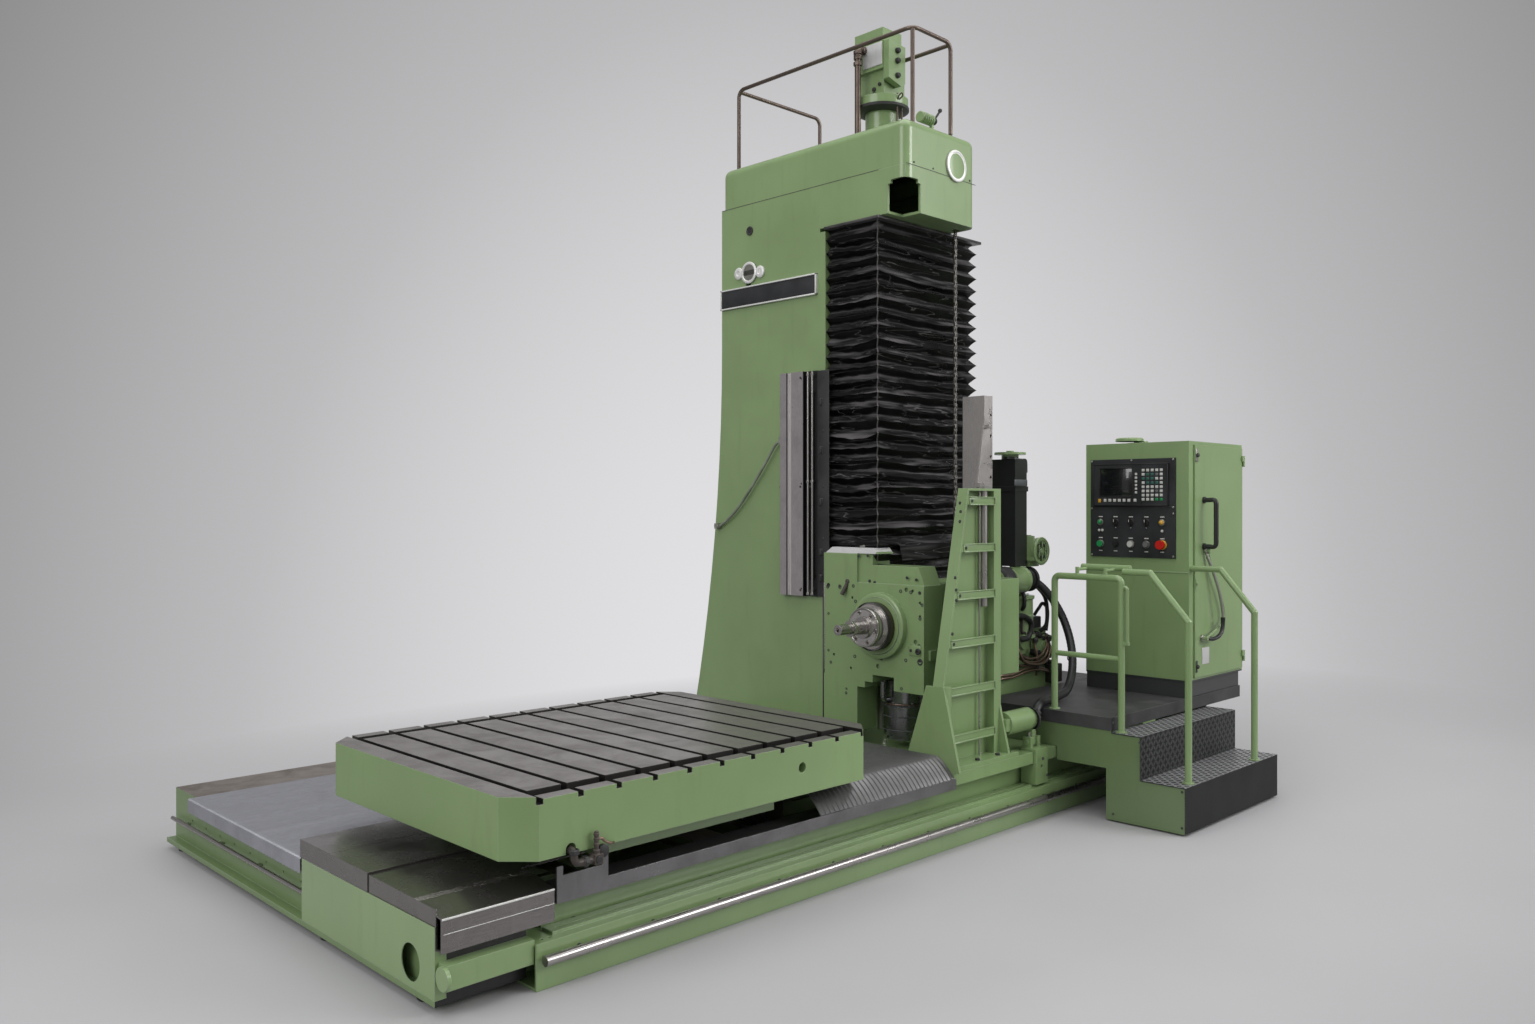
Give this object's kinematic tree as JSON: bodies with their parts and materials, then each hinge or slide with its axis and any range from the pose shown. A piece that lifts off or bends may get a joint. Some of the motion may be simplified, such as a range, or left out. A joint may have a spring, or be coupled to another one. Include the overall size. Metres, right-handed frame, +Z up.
{
  "type": "horizontal_boring_machine",
  "caption": "Horizontal boring and milling machine: slotted cross table, travelling column with headstock and bellows, operator platform with stairs, and control cabinet.",
  "frame": {"origin": "middle of the machine's footprint, on the floor", "axes": "+X along the column bed, away from the table; +Y along the table bed, away from the stairs; +Z up"},
  "size_m": [5.6, 3.26, 4.185],
  "materials": {
    "machine_green": "satin machine enamel, worn at the edges",
    "dark_paint": "satin black enamel",
    "dark_cover": "oily black steel sheet",
    "bright_steel": "ground steel",
    "ground_steel": "ground and polished steel",
    "cover_steel": "rolled steel sheet with an oil film",
    "pleat_steel": "blue-grey rolled steel",
    "pipe_metal": "dark pipe fittings",
    "plate_metal": "bare plate",
    "rail_steel": "dull brown steel tube",
    "dark_iron": "as cast",
    "chain_steel": "oiled steel chain",
    "black_rubber": "black rubber",
    "deck_rubber": "worn black ribbed deck",
    "checker_steel": "dark checker plate",
    "panel_grey": "satin dark grey",
    "stop_red": "gloss",
    "start_green": "gloss",
    "key_black": "matt",
    "key_white": "matt",
    "key_grey": "matt",
    "motor_grey": "satin grey enamel",
    "bellows_black": "folded rubberised cloth"
  },
  "bodies": {
    "bed": {"table_bed": "machine_green", "bed_side_pan": "machine_green", "steel_bars": "bright_steel", "levelling_feet": "dark_paint", "column_bed": "machine_green", "cover_strip": "dark_cover", "front_beam": "machine_green", "feed_screws": "bright_steel", "front_cover": "cover_steel", "rear_cover": "pleat_steel", "column_cover": "dark_cover", "back_cover": "dark_cover"},
    "table": {"saddle": "machine_green", "saddle_skin": "cover_steel", "table": "machine_green", "coolant_fittings": "pipe_metal"},
    "carriage": {"carriage": "machine_green", "column": "machine_green", "cap_base": "machine_green", "cap_cover": "machine_green", "blank_plates": "plate_metal", "top_handrail": "rail_steel", "feed_motor": "machine_green", "motor_conduit": "rail_steel", "lift_chain": "chain_steel", "counterweight_chain": "chain_steel", "scale_guard": "bright_steel", "scale_conduit": "black_rubber", "tower": "machine_green", "steel_post": "bright_steel", "clamp_cylinder": "machine_green", "gear_case": "machine_green", "oil_tank": "dark_paint", "pump_motor": "machine_green", "unit_pipes": "pipe_metal", "loop_hose": "black_rubber", "platform": "machine_green", "platform_deck": "deck_rubber", "stair_plates": "checker_steel", "handrails": "machine_green", "cabinet": "machine_green", "control_panel": "panel_grey", "head_bellows": "bellows_black"},
    "feed_screw": {"z_screw": "bright_steel"},
    "front_wheel": {"front_sheave": "dark_iron"},
    "rear_wheel": {"rear_sheave": "dark_iron"},
    "weight": {"counterweight": "dark_iron"},
    "head": {"headstock": "machine_green", "spindle_motor": "motor_grey"},
    "spindle_sleeve": {"spindle": "ground_steel"},
    "quill": {"boring_spindle": "ground_steel"},
    "door": {"cabinet_door": "machine_green"},
    "stop_mushroom": {"emergency_stop": "stop_red"},
    "start_key": {"start_button": "start_green"},
    "stop_key": {"stop_button": "key_black"},
    "feed_key": {"feed_button": "key_white"},
    "reset_key": {"reset_button": "key_grey"},
    "mode_dial": {"mode_knob": "key_black"},
    "speed_dial": {"speed_knob": "key_black"},
    "feed_dial": {"feed_knob": "key_black"}
  },
  "joints": [
    {"name": "table_slide", "type": "slide", "parent": "bed", "child": "table", "axis": [0, 1, 0], "range_m": [-0.18, 0.85], "deforming": ["rear_cover"]},
    {"name": "column_slide", "type": "slide", "parent": "bed", "child": "carriage", "axis": [1, 0, 0], "range_m": [-0.5, 0.4], "deforming": ["column_cover", "back_cover"]},
    {"name": "head_slide", "type": "slide", "parent": "carriage", "child": "head", "axis": [0, 0, 1], "range_m": [0, 1], "deforming": ["head_bellows", "lift_chain"]},
    {"name": "weight_slide", "type": "slide", "parent": "carriage", "child": "weight", "axis": [0, 0, 1], "range_m": [-1, 0], "deforming": ["counterweight_chain"]},
    {"name": "front_sheave_spin", "type": "hinge", "parent": "carriage", "child": "front_wheel", "pos_m": [0.566, -0.321, 3.37], "axis": [1, 0, 0], "continuous": true},
    {"name": "rear_sheave_spin", "type": "hinge", "parent": "carriage", "child": "rear_wheel", "pos_m": [0.566, 0.3895, 3.37], "axis": [1, 0, 0], "continuous": true},
    {"name": "feed_screw_spin", "type": "hinge", "parent": "carriage", "child": "feed_screw", "pos_m": [0.35, -0.068, 1], "axis": [0, 0, 1], "continuous": true},
    {"name": "spindle_spin", "type": "hinge", "parent": "head", "child": "spindle_sleeve", "pos_m": [-0.014, -0.369, 0.983], "axis": [-1, 0, 0], "continuous": true},
    {"name": "boring_feed", "type": "slide", "parent": "spindle_sleeve", "child": "quill", "axis": [-1, 0, 0], "range_m": [0, 0.3]},
    {"name": "door_swing", "type": "hinge", "parent": "carriage", "child": "door", "pos_m": [2.261, -1.266, 1.2], "axis": [0, 0, 1], "range_deg": [0, 110]},
    {"name": "emergency_press", "type": "slide", "parent": "carriage", "child": "stop_mushroom", "axis": [1, 0, 0], "range_m": [0, 0.005], "stiffness_N_per_m": 900},
    {"name": "start_press", "type": "slide", "parent": "carriage", "child": "start_key", "axis": [1, 0, 0], "range_m": [0, 0.005], "stiffness_N_per_m": 600},
    {"name": "stop_press", "type": "slide", "parent": "carriage", "child": "stop_key", "axis": [1, 0, 0], "range_m": [0, 0.005], "stiffness_N_per_m": 600},
    {"name": "feed_press", "type": "slide", "parent": "carriage", "child": "feed_key", "axis": [1, 0, 0], "range_m": [0, 0.005], "stiffness_N_per_m": 600},
    {"name": "reset_press", "type": "slide", "parent": "carriage", "child": "reset_key", "axis": [1, 0, 0], "range_m": [0, 0.005], "stiffness_N_per_m": 600},
    {"name": "mode_turn", "type": "hinge", "parent": "carriage", "child": "mode_dial", "pos_m": [1.571, -0.8115, 1.501], "axis": [-1, 0, 0], "range_deg": [-45, 45]},
    {"name": "speed_turn", "type": "hinge", "parent": "carriage", "child": "speed_dial", "pos_m": [1.571, -0.907, 1.501], "axis": [-1, 0, 0], "range_deg": [-135, 135]},
    {"name": "feed_turn", "type": "hinge", "parent": "carriage", "child": "feed_dial", "pos_m": [1.571, -1.0025, 1.501], "axis": [-1, 0, 0], "range_deg": [-135, 135]}
  ],
  "couplings": [
    {"joint": "weight_slide", "follows": "head_slide", "ratio": -1},
    {"joint": "front_sheave_spin", "follows": "head_slide", "rad_per_m": 11.905},
    {"joint": "rear_sheave_spin", "follows": "head_slide", "rad_per_m": 11.905},
    {"joint": "feed_screw_spin", "follows": "head_slide", "rad_per_m": 157.08}
  ]
}
